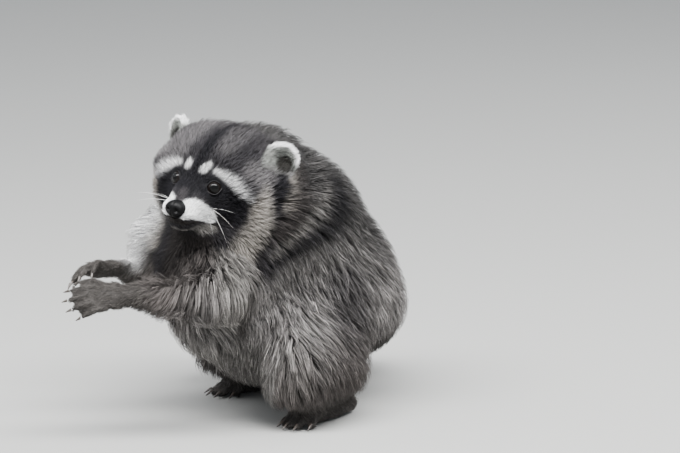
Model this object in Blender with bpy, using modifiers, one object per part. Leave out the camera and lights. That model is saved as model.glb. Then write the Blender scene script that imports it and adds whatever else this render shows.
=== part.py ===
"""A raccoon, life size, crouched on its hind feet and reaching forward with both forepaws.

The solids show the animal out to the tips of its coat. Rounded masses and limbs are fused into one
body, which is then parted by thin cuts into the head, jaw, neck, trunk and legs. Ears, eyes, nose,
paws, claws and tail are made by themselves and trimmed where they meet the body.

Axes: +X is the animal's left, -Y its front, +Z up, and the floor is z = 0. Run it in Blender 4.5.
"""

import math

import bmesh
import bpy
from mathutils import Matrix, Vector

CM = 0.01
GAP = 0.0003  # between neighbouring pieces

# Driving dimensions, in centimetres and degrees.
EYES_AT = (3.1, -15.1, 27.5)  # midway between the eyes, where the head's own frame starts
HEAD_TURN, HEAD_DOWN, HEAD_ROLL = 20.0, 2.4, 8.2  # to its left, nose down, left side down
EYE_RADIUS = 0.82
EYE_AT = (2.15, 0.2, 0.0)
NOSE_AT, NOSE_HALF = (0, -3.65, -2.0), (1.15, 0.95, 0.92)
EAR_AT, EAR_HALF, EAR_WALL = (6.5, 6.2, 2.9), (1.9, 0.95, 1.8), 0.3
EAR_YAW, EAR_LEAN, EAR_SPLAY = 38, -8, 26
SCOOP_FORWARD, SCOOP_DEPTH, SCOOP_DOWN = 0.75, 1.1, 0.1  # of the hollow in the ear's front

# Masses of the trunk: centre and half sizes. It is hunched over the hind legs.
TRUNK_MASSES = {
    "pelvis": ((0.3, 5.6, 11.2), (9.2, 8.8, 6.7)),
    "belly": ((0.0, -2.5, 10.5), (9.3, 9.0, 8.0)),
    "bib": ((1.2, -11.6, 12.6), (6.0, 5.4, 5.4)),
    "ribs": ((0.3, 3.0, 13.6), (10.4, 9.6, 10.0)),
    "withers": ((0.3, -0.8, 20.4), (9.8, 8.8, 9.2)),
    "nape": ((0.5, -5.4, 26.2), (7.8, 7.2, 6.8)),
    "chest": ((0.0, -10.5, 17.2), (8.2, 7.2, 7.6)),
    "ruff": ((-5.6, -10.9, 18.5), (5.6, 6.5, 6.2)),
    "collar": ((5.4, -6.6, 22.6), (5.2, 5.8, 7.2)),
}

# Masses of the head, in its own frame: it starts midway between the eyes and looks along -Y.
HEAD_MASSES = {
    "cranium": ((0, 5.4, 0.7), (6.6, 5.9, 5.2)),
    "face": ((0, 2.4, -1.6), (4.4, 3.4, 3.6)),
    "jaw": ((0, -0.3, -3.4), (2.0, 3.4, 1.5)),
    "throat": ((0, 3.6, -5.0), (4.6, 4.6, 3.8)),
    "left cheek": ((4.1, 4.8, -2.6), (3.7, 3.5, 4.2)),
    "right cheek": ((-4.1, 4.8, -2.6), (3.7, 3.5, 4.2)),
    "left temple": ((4.4, 3.2, 0.2), (2.6, 2.6, 2.4)),
    "right temple": ((-4.4, 3.2, 0.2), (2.6, 2.6, 2.4)),
    "left lip": ((0.95, -2.7, -2.4), (1.15, 1.4, 1.15)),
    "right lip": ((-0.95, -2.7, -2.4), (1.15, 1.4, 1.15)),
}
MUZZLE = [((0, 1.4, -1.2), 3.0), ((0, -0.8, -1.8), 2.35), ((0, -2.1, -2.2), 1.8), ((0, -2.8, -2.35), 1.45)]

# Limbs run from joint to joint: points and the radius over the coat.
FORELEGS = {
    "left": [((4.8, -9.0, 18.6), 3.6), ((6.2, -13.2, 16.2), 3.5), ((6.0, -16.8, 15.7), 3.0),
             ((4.5, -20.4, 16.2), 2.3), ((3.2, -23.3, 16.6), 1.65), ((2.85, -24.5, 16.7), 1.25)],
    "right": [((-4.8, -9.0, 18.6), 3.6), ((-6.4, -11.6, 15.4), 3.4), ((-6.5, -14.2, 15.1), 2.3),
              ((-6.0, -16.4, 15.9), 1.75), ((-5.6, -18.3, 16.9), 1.25), ((-5.5, -19.2, 17.2), 1.0)],
}
HINDLEG = [((6.8, 0.3, 8.4), 4.3), ((7.6, -4.6, 7.0), 4.6), ((7.4, -3.2, 4.8), 3.7),
           ((6.6, 0.6, 3.6), 2.5), ((6.3, 2.0, 2.9), 1.9)]
THIGH_CENTRE, THIGH_HALF = (7.2, -2.2, 7.2), (4.4, 6.8, 6.2)
HIND_SET_BACK = {"left": 0.0, "right": 2.4}  # the right hind leg is drawn in a little
TAIL = [((0.0, 10.2, 10.0), 3.2), ((-0.8, 12.9, 8.3), 3.2), ((-3.4, 14.6, 6.0), 3.0),
        ((-7.6, 14.8, 4.0), 3.2), ((-11.6, 13.2, 3.3), 3.5), ((-14.2, 9.6, 3.3), 3.5),
        ((-15.0, 5.2, 3.1), 3.2), ((-14.8, 1.8, 2.7), 2.4), ((-14.7, 0.6, 2.4), 1.7)]

# Paws: where each starts, how it turns about Z, X and Y, and its build. Ease below 1 brings a toe's
# drop on earlier. The pads of the hind toes drop to the floor and bear on it, like the soles.
FOREPAWS = {
    "left": {"at": (2.9, -24.1, 16.7), "turn": (-17, -4, 58)},
    "right": {"at": (-5.55, -18.9, 17.4), "turn": (-4, -4, -30)},
}
HINDPAWS = {
    "left": {"at": (6.3, 2.6, 1.0), "turn": (8, 0, 0)},
    "right": {"at": (-6.5, 4.6, 1.0), "turn": (-12, 0, 0)},
}
FORE_BUILD = {
    "palm": 3.0, "width": 1.65, "thick": 0.95,
    "toe": 2.9, "toe_r": 0.45, "fan": 7, "arch": 0.35, "drop": 0.9, "ease": 1.0, "claw_lift": 0.12,
}
HIND_BUILD = {
    "palm": 6.2, "width": 1.65, "thick": 1.15,
    "toe": 2.9, "toe_r": 0.5, "fan": 8, "arch": 0.25, "drop": 0.68, "ease": 0.3, "claw_lift": 0.34,
}
TOE_SHARES = (0.7, 0.94, 1.0, 0.95, 0.76)  # the length of each toe, from the inner to the outer
TOE_SPREAD, TOE_SET_BACK = 0.82, 0.13  # of the roots: across the palm, and back at its edges
TOE_STATIONS = (  # how far along the toe, then shares of its arch, drop and radius
    (0.0, 0.0, 0.0, 1.15),
    (0.45, 1.0, 0.0, 1.0),
    (0.8, 0.0, 0.35, 0.95),
    (1.0, 0.0, 1.0, 0.85),
)
PALM_MASSES = (  # back and up, then half sizes, as shares of the palm's length, width and thickness
    ((-0.45, 0.0), (1.0, 0.68, 1.0)),
    ((-0.85, -0.1), (1.08, 0.3, 0.85)),
)
WRIST_SPOT, WRIST_HALF = (0.2, 0.1), (0.8, 0.9, 1.0)  # where the palm meets the leg
CLAW_LENGTH, CLAW_RADIUS, CLAW_BEND, CLAW_SPANS = 1.0, 0.2, 0.18, 3
CLAW_TIP, CLAW_TAPER = 0.03, 0.7

# Cuts between the pieces: a point and a direction towards the piece that is parted.
HEAD_CUT = ((0, 8.5, 1.0), (0, -0.6, 0.8))  # in the head's frame
NECK_CUT = ((9.0, 0.3, 24.6), (0.24, -0.53, 0.82))
JAW_CORNER, JAW_SIZE = (0, 0.9, -3.45), (6.4, 12.0, 6.0)
ARM_EGGS = {
    "left": ((5.4, -17.0, 16.4), (5.4, 10.4, 5.2)),
    "right": ((-8.5, -14.8, 16.6), (7.7, 9.2, 5.2)),
}
HIP_EGG = (10.8, -1.0, 5.0), (7.6, 9.8, 8.2)
REGION_SIZE = 120.0  # of the box beyond a plane cut, larger than the animal

CORE_VOXEL, BODY_VOXEL, PAW_VOXEL, TAIL_VOXEL = 0.6, 0.3, 0.13, 0.4
CORE_SMOOTHING, BODY_SMOOTHING, PAW_SMOOTHING, TAIL_SMOOTHING = 40, 12, 3, 6
BODY_TRIANGLES, PAW_TRIANGLES, TAIL_TRIANGLES = 2600, 250, 260

COLOURS = {
    "fur_grey": (0.15, 0.135, 0.13),
    "fur_dark": (0.035, 0.03, 0.03),
    "fur_pale": (0.5, 0.48, 0.46),
    "eye": (0.012, 0.009, 0.008),
    "nose": (0.015, 0.014, 0.015),
    "claw": (0.06, 0.05, 0.045),
}


def point(place):
    return Vector(place) * CM


def clear_scene():
    for obj in list(bpy.data.objects):
        bpy.data.objects.remove(obj)


def collection(name, hidden=False):
    made = bpy.data.collections.new(name)
    made.hide_render = hidden
    bpy.context.scene.collection.children.link(made)
    return made


def material(name):
    made = bpy.data.materials.new(name)
    made.use_nodes = True
    shader = made.node_tree.nodes["Principled BSDF"]
    shader.inputs["Base Color"].default_value = (*COLOURS[name], 1)
    shader.inputs["Roughness"].default_value = 0.12 if name == "eye" else 0.8
    shader.inputs["Metallic"].default_value = 0
    return made


def new_object(name, mesh, group):
    obj = bpy.data.objects.new(name, mesh)
    group.objects.link(obj)
    return obj


def from_bmesh(name, bm, group):
    mesh = bpy.data.meshes.new(name)
    bm.to_mesh(mesh)
    bm.free()
    return new_object(name, mesh, group)


def settle(obj):
    """Applies the object's modifiers by swapping in its evaluated mesh."""
    bpy.context.view_layer.update()
    graph = bpy.context.evaluated_depsgraph_get()
    mesh = bpy.data.meshes.new_from_object(obj.evaluated_get(graph))
    obj.modifiers.clear()
    obj.data = mesh
    return obj


def placed(at, turn=(0, 0, 0)):
    """A frame at a point, turned about Z, then X, then Y, in degrees."""
    matrix = Matrix.Translation(point(at))
    for angle, axis in zip(turn, "ZXY"):
        matrix = matrix @ Matrix.Rotation(math.radians(angle), 4, axis)
    return matrix


def head_frame():
    return placed(EYES_AT, (HEAD_TURN, HEAD_DOWN, HEAD_ROLL))


def hip_frame(side):
    return placed((0, HIND_SET_BACK[side], 0))


def sided(place, side):
    """The same place on the given side, from one on the left."""
    return (place[0] if side == "left" else -place[0], place[1], place[2])


# ---- rounded masses and limbs -------------------------------------------------------------------


def add_ellipsoid(bm, centre, half, frame, segments=40, rings=24):
    matrix = frame @ Matrix.Translation(point(centre)) @ Matrix.Diagonal((*point(half), 1))
    bmesh.ops.create_uvsphere(bm, u_segments=segments, v_segments=rings, radius=1, matrix=matrix)


def smooth_path(stations, steps):
    """Catmull-Rom points and eased radii through the stations, steps to a span."""
    places = [Vector(station[0]) for station in stations]
    radii = [station[1] for station in stations]
    places = [2 * places[0] - places[1], *places, 2 * places[-1] - places[-2]]
    path = []
    for i in range(len(stations) - 1):
        a, b, c, d = places[i : i + 4]
        for k in range(steps):
            t = k / steps
            bend = (2 * a - 5 * b + 4 * c - d) * t**2 + (3 * b - a - 3 * c + d) * t**3
            ease = t * t * (3 - 2 * t)
            path.append((0.5 * (2 * b + (c - a) * t + bend), radii[i] * (1 - ease) + radii[i + 1] * ease))
    path.append((places[-2], radii[-1]))
    return path


def add_tube(bm, path, frame, sides):
    """A round tube with flat ends along a path of points and radii."""
    curve = bpy.data.curves.new("tube", "CURVE")
    curve.dimensions = "3D"
    curve.bevel_depth = CM
    curve.bevel_resolution = sides // 2 - 2
    curve.use_fill_caps = True
    spline = curve.splines.new("POLY")
    spline.points.add(len(path) - 1)
    for spot, (place, radius) in zip(spline.points, path):
        spot.co = (*(frame @ point(place)), 1)
        spot.radius = radius
    guide = bpy.data.objects.new("tube", curve)
    bpy.context.scene.collection.objects.link(guide)
    bpy.context.view_layer.update()
    mesh = bpy.data.meshes.new_from_object(guide.evaluated_get(bpy.context.evaluated_depsgraph_get()))
    bpy.data.objects.remove(guide)
    bm.from_mesh(mesh)
    bmesh.ops.remove_doubles(bm, verts=bm.verts, dist=1e-6)


def add_limb(bm, stations, frame, steps=8, sides=20):
    """A tube along a smooth path through the stations, with rounded ends."""
    path = smooth_path(stations, steps)
    add_tube(bm, path, frame, sides)
    for place, radius in (path[0], path[-1]):
        add_ellipsoid(bm, place, (radius, radius, radius), frame, sides, sides // 2)


def blended(name, bm, group, voxel, smoothing):
    """One smooth body from overlapping closed shapes."""
    obj = from_bmesh(name, bm, group)
    remesh = obj.modifiers.new("Fuse", "REMESH")
    remesh.mode = "VOXEL"
    remesh.voxel_size = voxel * CM
    soften = obj.modifiers.new("Soften", "SMOOTH")
    soften.iterations = smoothing
    return settle(obj)


def fused(name, bm, group, voxel, triangles, smoothing):
    """One smooth body of about that many triangles."""
    obj = blended(name, bm, group, voxel, smoothing)
    full = sum(len(face.vertices) - 2 for face in obj.data.polygons)
    thin = obj.modifiers.new("Thin", "DECIMATE")
    thin.ratio = min(1.0, triangles / full)
    return settle(obj)


# ---- cuts ---------------------------------------------------------------------------------------


def keep_largest(obj):
    """Drops the crumbs that a cut can leave, so that the piece is one body."""
    bm = bmesh.new()
    bm.from_mesh(obj.data)
    left = set(bm.verts)
    bodies = []
    while left:
        todo = [left.pop()]
        body = []
        while todo:
            vert = todo.pop()
            body.append(vert)
            near = {edge.other_vert(vert) for edge in vert.link_edges} & left
            left -= near
            todo.extend(near)
        bodies.append(body)
    bodies.sort(key=len)
    bmesh.ops.delete(bm, geom=[vert for body in bodies[:-1] for vert in body], context="VERTS")
    bm.to_mesh(obj.data)
    bm.free()


def boolean(obj, cutter, operation):
    """Applies an exact cut and removes the cutter."""
    cut = obj.modifiers.new("Cut", "BOOLEAN")
    cut.operation = operation
    cut.object = cutter
    settle(obj)
    keep_largest(obj)
    bpy.data.objects.remove(cutter)


def swollen(mesh, growth, group):
    """A new object with a copy of the mesh, grown all round."""
    made = new_object("swollen", mesh.copy(), group)
    swell = made.modifiers.new("Swell", "DISPLACE")
    swell.mid_level = 0
    swell.strength = growth
    return settle(made)


def trim(obj, neighbours, cutters):
    """Cuts the object back so that it stays the gap away from each neighbour."""
    for neighbour in neighbours:
        boolean(obj, swollen(neighbour.data, GAP, cutters), "DIFFERENCE")


def box_region(frame, centre, size, group, growth=0.0):
    """A box about a centre in a frame, in centimetres, grown all round."""
    bm = bmesh.new()
    bmesh.ops.create_cube(bm, size=1)
    scale = Vector(size) * CM + Vector((2, 2, 2)) * growth
    bm.transform(frame @ Matrix.Translation(point(centre)) @ Matrix.Diagonal((*scale, 1)))
    return from_bmesh("box", bm, group)


def split(body, name, region, group):
    """Parts what lies in a region as its own piece; region(growth) makes the cutter."""
    piece = new_object(name, body.data.copy(), group)
    boolean(piece, region(0.0), "INTERSECT")
    boolean(body, region(GAP), "DIFFERENCE")
    return piece


def beyond_plane(frame, cut, cutters):
    """The region on the far side of a plane: a large box that ends there."""
    spot, normal = Vector(cut[0]), Vector(cut[1]).normalized()
    turn = normal.to_track_quat("Z", "Y").to_matrix().to_4x4()
    middle = frame @ Matrix.Translation(point(spot + normal * REGION_SIZE / 2)) @ turn

    def region(growth):
        return box_region(middle, (0, 0, 0), (REGION_SIZE,) * 3, cutters, growth)

    return region


def egg(centre, half, frame, cutters):
    """An egg-shaped region. Those of the legs reach outside the body, to meet the coat squarely."""

    def region(growth):
        return ball("egg", centre, [size + growth / CM for size in half], frame, cutters)

    return region


# ---- the pieces ---------------------------------------------------------------------------------


def body_mass(group):
    """Trunk, head and limbs fused into one body."""
    still = Matrix.Identity(4)
    bm = bmesh.new()
    for centre, half in TRUNK_MASSES.values():
        add_ellipsoid(bm, centre, half, still)
    core = blended("core", bm, group, CORE_VOXEL, CORE_SMOOTHING)
    bm = bmesh.new()
    bm.from_mesh(core.data)
    bpy.data.objects.remove(core)
    for centre, half in HEAD_MASSES.values():
        add_ellipsoid(bm, centre, half, head_frame())
    add_limb(bm, MUZZLE, head_frame())
    for side, stations in FORELEGS.items():
        add_limb(bm, stations, still)
        hip = hip_frame(side)
        add_ellipsoid(bm, sided(THIGH_CENTRE, side), THIGH_HALF, hip)
        add_limb(bm, [(sided(place, side), radius) for place, radius in HINDLEG], hip)
    return fused("trunk", bm, group, BODY_VOXEL, BODY_TRIANGLES, BODY_SMOOTHING)


def toes(build, side):
    """Stations of the five toes, from the inner to the outer, in the paw's own frame."""
    outward = 1 if side == "left" else -1
    made = []
    for i, share in enumerate(TOE_SHARES):
        across = outward * (i - 2) / 2
        angle = math.radians(across * 2 * build["fan"])
        way = Vector((math.sin(angle), -math.cos(angle), 0))
        back = 1 - TOE_SET_BACK * across * across
        root = Vector((across * build["width"] * TOE_SPREAD, -build["palm"] * back, 0))
        stations = []
        for along, arch, drop, girth in TOE_STATIONS:
            lift = Vector((0, 0, build["arch"] * arch - build["drop"] * drop ** build["ease"]))
            spot = root + way * build["toe"] * share * along + lift
            stations.append((spot, build["toe_r"] * girth))
        made.append(stations)
    return made


def paw(name, spec, build, side, group):
    """A palm and five toes, laid along -Y of the paw's own frame with its back upward."""
    frame = placed(spec["at"], spec["turn"])
    palm, width, thick = build["palm"], build["width"], build["thick"]
    bm = bmesh.new()
    for (back, up), (wide, long, deep) in PALM_MASSES:
        add_ellipsoid(bm, (0, palm * back, thick * up), (width * wide, palm * long, thick * deep), frame)
    wrist = (width * WRIST_HALF[0], width * WRIST_HALF[1], thick * WRIST_HALF[2])
    add_ellipsoid(bm, (0, WRIST_SPOT[0], thick * WRIST_SPOT[1]), wrist, frame)
    for stations in toes(build, side):
        add_limb(bm, stations, frame, steps=5, sides=12)
    return fused(name, bm, group, PAW_VOXEL, PAW_TRIANGLES, PAW_SMOOTHING)


def claws(name, spec, build, side, group):
    """Five bent, pointed claws that carry on from the toes."""
    frame = placed(spec["at"], spec["turn"])
    made = []
    for i, stations in enumerate(toes(build, side)):
        way = (stations[-1][0] - stations[-2][0]).normalized()
        start = stations[-1][0] + Vector((0, 0, build["claw_lift"]))
        path = []
        for k in range(CLAW_SPANS + 1):
            t = k / CLAW_SPANS
            sag = Vector((0, 0, -CLAW_BEND * t * t))
            girth = CLAW_RADIUS * (1 - t) ** CLAW_TAPER + CLAW_TIP
            path.append((start + way * CLAW_LENGTH * t + sag, girth))
        bm = bmesh.new()
        add_tube(bm, path, frame, 6)
        made.append(from_bmesh(f"{name}_claw_{i + 1}", bm, group))
    return made


def ear(side, group, cutters):
    """A cupped ear: a flat egg, scooped from the front."""
    mirror = 1 if side == "left" else -1
    frame = head_frame() @ placed(sided(EAR_AT, side), (mirror * EAR_YAW, EAR_LEAN, mirror * EAR_SPLAY))
    made = ball(f"ear_{side}", (0, 0, 0), EAR_HALF, frame, group)
    wide, deep, tall = EAR_HALF
    hollow = (wide - EAR_WALL, deep * SCOOP_DEPTH, tall - EAR_WALL)
    scoop = ball("scoop", (0, -deep * SCOOP_FORWARD, -SCOOP_DOWN), hollow, frame, cutters)
    boolean(made, scoop, "DIFFERENCE")
    return made


def ball(name, centre, half, frame, group):
    bm = bmesh.new()
    add_ellipsoid(bm, centre, half, frame, 14, 8)
    return from_bmesh(name, bm, group)


def tail(group):
    bm = bmesh.new()
    add_limb(bm, TAIL, Matrix.Identity(4))
    return fused("tail", bm, group, TAIL_VOXEL, TAIL_TRIANGLES, TAIL_SMOOTHING)


def flatten_on_floor(obj, cutters):
    """Cuts the piece level with the floor."""
    below = beyond_plane(Matrix.Identity(4), ((0, 0, 0), (0, 0, -1)), cutters)
    boolean(obj, below(0.0), "DIFFERENCE")


def part_body(group, cutters):
    """The fused body, parted into legs, head, neck and trunk."""
    trunk = body_mass(group)
    pieces = {"trunk": trunk}
    regions = {}
    for side, (centre, half) in ARM_EGGS.items():
        regions[f"foreleg_{side}"] = egg(centre, half, Matrix.Identity(4), cutters)
        regions[f"hindleg_{side}"] = egg(sided(HIP_EGG[0], side), HIP_EGG[1], hip_frame(side), cutters)
    regions["head"] = beyond_plane(head_frame(), HEAD_CUT, cutters)
    regions["neck"] = beyond_plane(Matrix.Identity(4), NECK_CUT, cutters)
    for name, region in regions.items():
        pieces[name] = split(trunk, name, region, group)
    return pieces


def head_pieces(pieces, group, cutters):
    """Nose and eyes let into the head, the lower jaw parted from it, and the ears set on it."""
    nose = ball("nose", NOSE_AT, NOSE_HALF, head_frame(), group)
    eyes = []
    ears = []
    for side in ("left", "right"):
        eyes.append(ball(f"eye_{side}", sided(EYE_AT, side), (EYE_RADIUS,) * 3, head_frame(), group))
        ears.append(ear(side, group, cutters))
    trim(pieces["head"], [nose, *eyes], cutters)
    centre = Vector(JAW_CORNER) - Vector((0, JAW_SIZE[1] / 2, JAW_SIZE[2] / 2))

    def jaw_region(growth):
        return box_region(head_frame(), centre, JAW_SIZE, cutters, growth)

    pieces["lower_jaw"] = split(pieces["head"], "lower_jaw", jaw_region, group)
    for made in ears:
        trim(made, [pieces["head"], pieces["neck"], pieces["trunk"]], cutters)
    return eyes, ears


def paws_and_claws(pieces, group, cutters):
    """The four paws, trimmed against their legs, and the claws, trimmed against the paws."""
    paws = []
    nails = []
    for end, specs, shape in (("fore", FOREPAWS, FORE_BUILD), ("hind", HINDPAWS, HIND_BUILD)):
        for side, spec in specs.items():
            made = paw(f"{end}paw_{side}", spec, shape, side, group)
            if end == "hind":
                flatten_on_floor(made, cutters)
            trim(made, [pieces[f"{end}leg_{side}"]], cutters)
            for nail in claws(made.name, spec, shape, side, group):
                trim(nail, [made], cutters)
                nails.append(nail)
            paws.append(made)
    return paws, nails


def centre_on_origin(objects):
    """Moves the whole animal so that its box stands on the origin."""
    corners = [vert.co for obj in objects for vert in obj.data.vertices]
    low = Vector([min(corner[k] for corner in corners) for k in range(3)])
    high = Vector([max(corner[k] for corner in corners) for k in range(3)])
    shift = Vector((-(low.x + high.x) / 2, -(low.y + high.y) / 2, -low.z))
    for obj in objects:
        obj.data.transform(Matrix.Translation(shift))


def main():
    clear_scene()
    group = collection("raccoon")
    cutters = collection("cutters", hidden=True)
    pieces = part_body(group, cutters)
    eyes, ears = head_pieces(pieces, group, cutters)
    brush = tail(group)
    flatten_on_floor(brush, cutters)
    trim(brush, [pieces["trunk"], pieces["hindleg_left"], pieces["hindleg_right"]], cutters)
    paws, nails = paws_and_claws(pieces, group, cutters)

    looks = {obj.name: "fur_grey" for obj in group.objects}
    looks["nose"] = "nose"
    for look, objects in (("fur_dark", paws), ("fur_pale", ears), ("eye", eyes), ("claw", nails)):
        looks.update({obj.name: look for obj in objects})
    materials = {name: material(name) for name in COLOURS}
    for obj in group.objects:
        obj.data.materials.clear()
        obj.data.materials.append(materials[looks[obj.name]])
        obj.data.shade_smooth()
    centre_on_origin(group.objects)


main()
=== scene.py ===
import heapq
import math

import bmesh
import bpy
import numpy as np
from mathutils import Matrix, Vector
from mathutils.bvhtree import BVHTree
from mathutils.kdtree import KDTree


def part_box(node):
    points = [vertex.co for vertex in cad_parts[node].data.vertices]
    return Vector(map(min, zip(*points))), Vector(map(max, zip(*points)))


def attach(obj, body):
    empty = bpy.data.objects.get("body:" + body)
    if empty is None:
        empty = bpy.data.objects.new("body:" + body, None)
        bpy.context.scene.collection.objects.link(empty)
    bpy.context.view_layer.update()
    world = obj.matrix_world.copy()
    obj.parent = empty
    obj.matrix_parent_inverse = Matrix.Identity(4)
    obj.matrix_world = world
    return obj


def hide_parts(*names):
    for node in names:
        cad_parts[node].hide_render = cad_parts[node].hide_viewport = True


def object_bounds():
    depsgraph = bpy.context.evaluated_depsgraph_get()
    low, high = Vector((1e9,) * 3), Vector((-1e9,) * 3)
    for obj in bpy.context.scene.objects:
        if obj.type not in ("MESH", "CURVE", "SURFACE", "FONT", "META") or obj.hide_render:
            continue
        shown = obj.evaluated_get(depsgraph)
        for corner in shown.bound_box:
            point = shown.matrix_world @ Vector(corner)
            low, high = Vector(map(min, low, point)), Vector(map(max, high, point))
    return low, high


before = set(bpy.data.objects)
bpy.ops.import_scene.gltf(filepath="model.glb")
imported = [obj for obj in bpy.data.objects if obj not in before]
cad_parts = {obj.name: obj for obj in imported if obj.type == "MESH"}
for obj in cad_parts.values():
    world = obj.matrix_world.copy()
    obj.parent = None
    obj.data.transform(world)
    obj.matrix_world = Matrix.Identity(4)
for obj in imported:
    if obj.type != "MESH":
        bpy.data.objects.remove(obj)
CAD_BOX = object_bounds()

# A life-size raccoon: one skin inside the solids, a coat of solid tufts, eyes, lids, nose, claws and
# whiskers. Lengths are in metres unless a name or comment says centimetres (CM) or millimetres (MM).
CM, MM = 0.01, 0.001
SIDES = {"left": 1, "right": -1}
DRAWS = np.random.default_rng(7)
FLESH_NODES = [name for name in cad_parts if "claw" not in name and not name.startswith(("eye", "nose"))]

# ---- the skin ----
GROUPS = ("head", "neck", "trunk", "tail", "ear", "foreleg", "hindleg", "forepaw", "hindpaw")
HEAD, NECK, TRUNK, TAIL, EAR, FORELEG, HINDLEG, FOREPAW, HINDPAW = range(len(GROUPS))
SKIN_VOXEL = 1.9 * MM
SWELL = 0.5 * MM  # closes the cuts between the solids
PRE_SMOOTHING = {HEAD: 14, NECK: 40, TRUNK: 50, TAIL: 40, EAR: 1, FORELEG: 20, HINDLEG: 30,
                 FOREPAW: 1, HINDPAW: 1}
# How deep the coat is, in millimetres: over the head and trunk it grows with the distance from the nose.
DEPTH_AT_CM = (0.0, 3.0, 5.5, 8.0, 12.0, 16.0, 22.0)
DEPTH_MM = (1.2, 1.8, 3.6, 6.5, 12.0, 18.0, 22.0)
EAR_DEPTH_MM, PAW_DEPTH_MM, TAIL_DEPTH_MM, EYE_DEPTH_MM = 1.4, 1.6, 9.0, 1.2
EYE_CLEAR_CM = (0.9, 2.4)  # the coat is thin up to the first distance from an eye, and full from the second
LEG_DEPTH_MM = {FORELEG: (3.0, 15.0), HINDLEG: (4.0, 18.0)}  # at the paw, and well above it
LEG_GROWS_CM = {FORELEG: (3.5, 9.5), HINDLEG: (3.5, 10.0)}  # how far from the paw it starts and ends to grow

# ---- the head's own frame, in centimetres: x to its left, y back, z up, from between the eyes ----
EYE_BACK, NOSE_SPOT = 0.2, (0.0, -3.65, -2.0)
EYE_TURN, EYE_LIFT = 31.0, 16.0  # how the opening faces: degrees outward and up
EYE_SLANT = 14.0  # the outer corner is higher
EYE_OPEN = (7.2 * MM, 6.1 * MM)  # half width and half height of the opening
LID_THICK = 1.2 * MM
EAR_AT, EAR_HALF = (6.5, 6.2, 2.9), (1.9, 0.95, 1.8)
EAR_YAW, EAR_LEAN, EAR_SPLAY = 38, -8, 26

# ---- colours, linear ----
WHITE, CREAM, PALE = (0.87, 0.865, 0.86), (0.228, 0.210, 0.187), (0.180, 0.170, 0.158)
BODY, MAUVE, CROWN = (0.192, 0.180, 0.174), (0.034, 0.031, 0.033), (0.021, 0.0195, 0.0215)
# BELLY_SHADE is painted shade, laid under the belly and low on the trunk.
BELLY_SHADE, BACK, SHOULDER = (0.142, 0.135, 0.127), (0.056, 0.054, 0.052), (0.042, 0.040, 0.039)
DARK, BLACK, BROWN = (0.020, 0.019, 0.017), (0.006, 0.0056, 0.0072), (0.076, 0.067, 0.063)
UMBER, PAW_COLOUR, SMOKE = (0.024, 0.0205, 0.019), (0.056, 0.051, 0.047), (0.108, 0.102, 0.103)
ASH = (0.25, 0.26, 0.24)


def smoothstep(low, high, value):
    t = np.clip((np.asarray(value, float) - low) / (high - low), 0, 1)
    return t * t * (3 - 2 * t)


def unit(vectors):
    return vectors / np.maximum(np.linalg.norm(vectors, axis=-1, keepdims=True), 1e-12)


def lengths(vectors):
    return np.linalg.norm(vectors, axis=1)


def flattened(vectors, normals):
    """The vectors' part along the surface, at unit length."""
    along = (vectors * normals).sum(1, keepdims=True)
    return unit(vectors - normals * along)


# ---- meshes as arrays ----


def new_object(name, data, material=None):
    obj = bpy.data.objects.new(name, data)
    bpy.context.scene.collection.objects.link(obj)
    if material:
        data.materials.append(material)
    return obj


def settled(obj):
    """A new mesh with the object's modifiers applied; the object is removed."""
    bpy.context.view_layer.update()
    graph = bpy.context.evaluated_depsgraph_get()
    mesh = bpy.data.meshes.new_from_object(obj.evaluated_get(graph))
    bpy.data.objects.remove(obj)
    return mesh


def mesh_of(bm, name):
    """A new mesh of the bmesh, which is freed."""
    mesh = bpy.data.meshes.new(name)
    bm.to_mesh(mesh)
    bm.free()
    return mesh


def arrays(mesh):
    """The mesh's points and triangles."""
    mesh.calc_loop_triangles()
    points = np.empty(len(mesh.vertices) * 3)
    mesh.vertices.foreach_get("co", points)
    triangles = np.empty(len(mesh.loop_triangles) * 3, np.int64)
    mesh.loop_triangles.foreach_get("vertices", triangles)
    return points.reshape(-1, 3), triangles.reshape(-1, 3)


def mesh_from(name, points, triangles, colours=None, uv=None):
    """A smooth-shaded triangle mesh, with a colour at each point and a UV at each corner."""
    mesh = bpy.data.meshes.new(name)
    mesh.vertices.add(len(points))
    mesh.vertices.foreach_set("co", np.ascontiguousarray(points, np.float32).ravel())
    mesh.loops.add(triangles.size)
    mesh.loops.foreach_set("vertex_index", np.ascontiguousarray(triangles, np.int32).ravel())
    mesh.polygons.add(len(triangles))
    mesh.polygons.foreach_set("loop_start", np.arange(0, triangles.size, 3, dtype=np.int32))
    mesh.polygons.foreach_set("use_smooth", np.ones(len(triangles), bool))
    mesh.update(calc_edges=True)
    if uv is not None:
        mesh.uv_layers.new(name="OFBake").data.foreach_set("uv", uv.astype(np.float32).ravel())
    if colours is not None:
        layer = mesh.color_attributes.new(name="Coat", type="FLOAT_COLOR", domain="POINT")
        rgba = np.ones((len(points), 4), np.float32)
        rgba[:, :3] = colours
        layer.data.foreach_set("color", rgba.ravel())
    return mesh


def both_ways(triangles):
    """Each edge once in each direction."""
    pairs = np.concatenate([triangles[:, (0, 1)], triangles[:, (1, 2)], triangles[:, (2, 0)]])
    pairs = np.unique(np.sort(pairs, axis=1), axis=0)
    return np.concatenate([pairs, pairs[:, ::-1]])


def averaged(values, edges, rounds, share=0.5):
    """Each point's value drawn towards its neighbours' mean; share may differ from point to point."""
    flat = values.reshape(len(values), -1).astype(float)
    share = np.broadcast_to(share, len(flat))[:, None]
    start, end = edges.T
    degree = np.maximum(np.bincount(start, minlength=len(flat)), 1)[:, None]
    for _ in range(rounds):
        sums = [np.bincount(start, flat[end, k], minlength=len(flat)) for k in range(flat.shape[1])]
        flat = flat + share * (np.stack(sums, 1) / degree - flat)
    return flat.reshape(values.shape)


def corners(points, triangles):
    return (points[triangles[:, k]] for k in range(3))


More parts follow.
